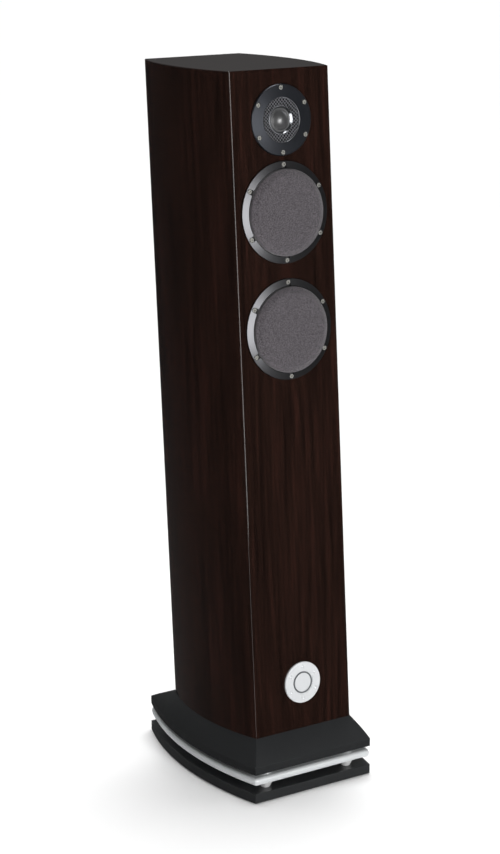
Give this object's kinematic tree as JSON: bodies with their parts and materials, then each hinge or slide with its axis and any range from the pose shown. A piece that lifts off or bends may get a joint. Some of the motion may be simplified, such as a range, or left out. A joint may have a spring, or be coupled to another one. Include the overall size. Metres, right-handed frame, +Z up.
{
  "type": "floorstanding loudspeaker",
  "caption": "Tall leaning floorstanding loudspeaker with curved sides, a dome tweeter, two round-grilled woofers and a stepped plinth of dark and metal plates.",
  "frame": {"origin": "centre of the plinth footprint on the floor", "axes": "+Z up, front baffle towards -Y, +X to the right seen from the front"},
  "size_m": [0.2472, 0.343, 1.0863],
  "materials": {
    "veneered_board": "dark stained veneer under gloss lacquer",
    "plain_board": "bare fibreboard",
    "polyester_wadding": "soft white wadding",
    "bright_aluminium": "bright satin",
    "black_lacquer": "black gloss lacquer on fibreboard",
    "dark_steel": "blackened",
    "polished_steel": "polished",
    "pad_rubber": "matte",
    "foam_gasket": "closed-cell foam",
    "anthracite_metal": "satin anthracite paint",
    "mesh_steel": "satin black mesh",
    "dome_fabric": "coated fabric",
    "coil_wire": "enamelled copper wire",
    "ferrite": "matte ferrite",
    "black_plastic": "moulded",
    "red_plastic": "moulded",
    "gold_plated_brass": "gold plated",
    "circuit_board": "glass-fibre laminate",
    "ceramic": "cement resistor body",
    "lead_jacket": "clear yellow jacket over copper",
    "cast_metal": "satin dark cast alloy",
    "surround_rubber": "matte",
    "spider_cloth": "resin-treated cloth",
    "paper_cone": "coated pulp",
    "grille_cloth": "grey acoustic cloth"
  },
  "bodies": {
    "cabinet": {"front_baffle": "veneered_board", "left_side_panel": "veneered_board", "right_side_panel": "veneered_board", "rear_panel": "veneered_board", "top_panel": "veneered_board", "bottom_panel": "plain_board", "window_braces": "plain_board", "damping_wadding": "polyester_wadding", "badge": "bright_aluminium", "plinth_skirt": "black_lacquer", "plinth_bolts": "dark_steel", "isolation_pucks": "polished_steel", "middle_plate": "bright_aluminium", "isolation_cones": "polished_steel", "base_plate": "black_lacquer", "floor_pads": "pad_rubber", "woofer_screws": "polished_steel", "sealing_gaskets": "foam_gasket", "tweeter_faceplate": "anthracite_metal", "tweeter_mesh": "mesh_steel", "tweeter_motor_steel": "dark_steel", "tweeter_magnet": "ferrite", "tweeter_rear_cup": "black_plastic", "tweeter_screws": "polished_steel", "port_tube": "black_plastic", "terminal_plate": "anthracite_metal", "terminal_screws": "polished_steel", "binding_posts": "gold_plated_brass", "crossover_board": "circuit_board", "crossover_coils": "coil_wire", "crossover_capacitors": "black_plastic", "crossover_resistors": "ceramic", "speaker_leads": "lead_jacket", "upper_woofer_basket": "cast_metal", "upper_woofer_motor_steel": "dark_steel", "upper_woofer_magnet": "ferrite", "lower_woofer_basket": "cast_metal", "lower_woofer_motor_steel": "dark_steel", "lower_woofer_magnet": "ferrite"},
    "upper_woofer_cone": {"upper_woofer_cone": "paper_cone", "upper_woofer_dust_cap": "paper_cone", "upper_woofer_voice_coil": "coil_wire", "upper_woofer_surround": "surround_rubber", "upper_woofer_spider": "spider_cloth"},
    "upper_grille": {"upper_woofer_grille_frame": "black_plastic", "upper_woofer_grille_cloth": "grille_cloth"},
    "lower_woofer_cone": {"lower_woofer_cone": "paper_cone", "lower_woofer_dust_cap": "paper_cone", "lower_woofer_voice_coil": "coil_wire", "lower_woofer_surround": "surround_rubber", "lower_woofer_spider": "spider_cloth"},
    "lower_grille": {"lower_woofer_grille_frame": "black_plastic", "lower_woofer_grille_cloth": "grille_cloth"},
    "tweeter_dome": {"tweeter_dome": "dome_fabric", "tweeter_voice_coil": "coil_wire", "tweeter_surround": "dome_fabric"},
    "positive_washer": {"positive_washer": "gold_plated_brass"},
    "positive_knob": {"positive_knob": "red_plastic"},
    "negative_washer": {"negative_washer": "gold_plated_brass"},
    "negative_knob": {"negative_knob": "black_plastic"}
  },
  "joints": [
    {"name": "upper_woofer_stroke", "type": "slide", "parent": "cabinet", "child": "upper_woofer_cone", "axis": [0, -0.9973, 0.0732], "range_m": [-0.005, 0.005], "stiffness_N_per_m": 900, "deforming": ["upper_woofer_surround", "upper_woofer_spider"]},
    {"name": "upper_grille_pull_off", "type": "slide", "parent": "cabinet", "child": "upper_grille", "axis": [0, -0.9973, 0.0732], "range_m": [0, 0.06]},
    {"name": "lower_woofer_stroke", "type": "slide", "parent": "cabinet", "child": "lower_woofer_cone", "axis": [0, -0.9973, 0.0732], "range_m": [-0.005, 0.005], "stiffness_N_per_m": 900, "deforming": ["lower_woofer_surround", "lower_woofer_spider"]},
    {"name": "lower_grille_pull_off", "type": "slide", "parent": "cabinet", "child": "lower_grille", "axis": [0, -0.9973, 0.0732], "range_m": [0, 0.06]},
    {"name": "tweeter_stroke", "type": "slide", "parent": "cabinet", "child": "tweeter_dome", "axis": [0, -0.9973, 0.0732], "range_m": [-0.0005, 0.0005], "stiffness_N_per_m": 700, "deforming": ["tweeter_surround"]},
    {"name": "negative_clamp_travel", "type": "slide", "parent": "cabinet", "child": "negative_washer", "axis": [0, 0.9973, -0.0732], "range_m": [0, 0.005]},
    {"name": "negative_knob_turn", "type": "hinge", "parent": "negative_washer", "child": "negative_knob", "pos_m": [0.00953, 0.11937, 0.20523], "axis": [0, 0.9973, -0.0732], "range_deg": [0, 1441]},
    {"name": "positive_clamp_travel", "type": "slide", "parent": "cabinet", "child": "positive_washer", "axis": [0, 0.9973, -0.0732], "range_m": [0, 0.005]},
    {"name": "positive_knob_turn", "type": "hinge", "parent": "positive_washer", "child": "positive_knob", "pos_m": [-0.00953, 0.11937, 0.20523], "axis": [0, 0.9973, -0.0732], "range_deg": [0, 1441]}
  ],
  "couplings": [
    {"joint": "negative_knob_turn", "follows": "negative_clamp_travel", "rad_per_m": 5026.5},
    {"joint": "positive_knob_turn", "follows": "positive_clamp_travel", "rad_per_m": 5026.5}
  ]
}
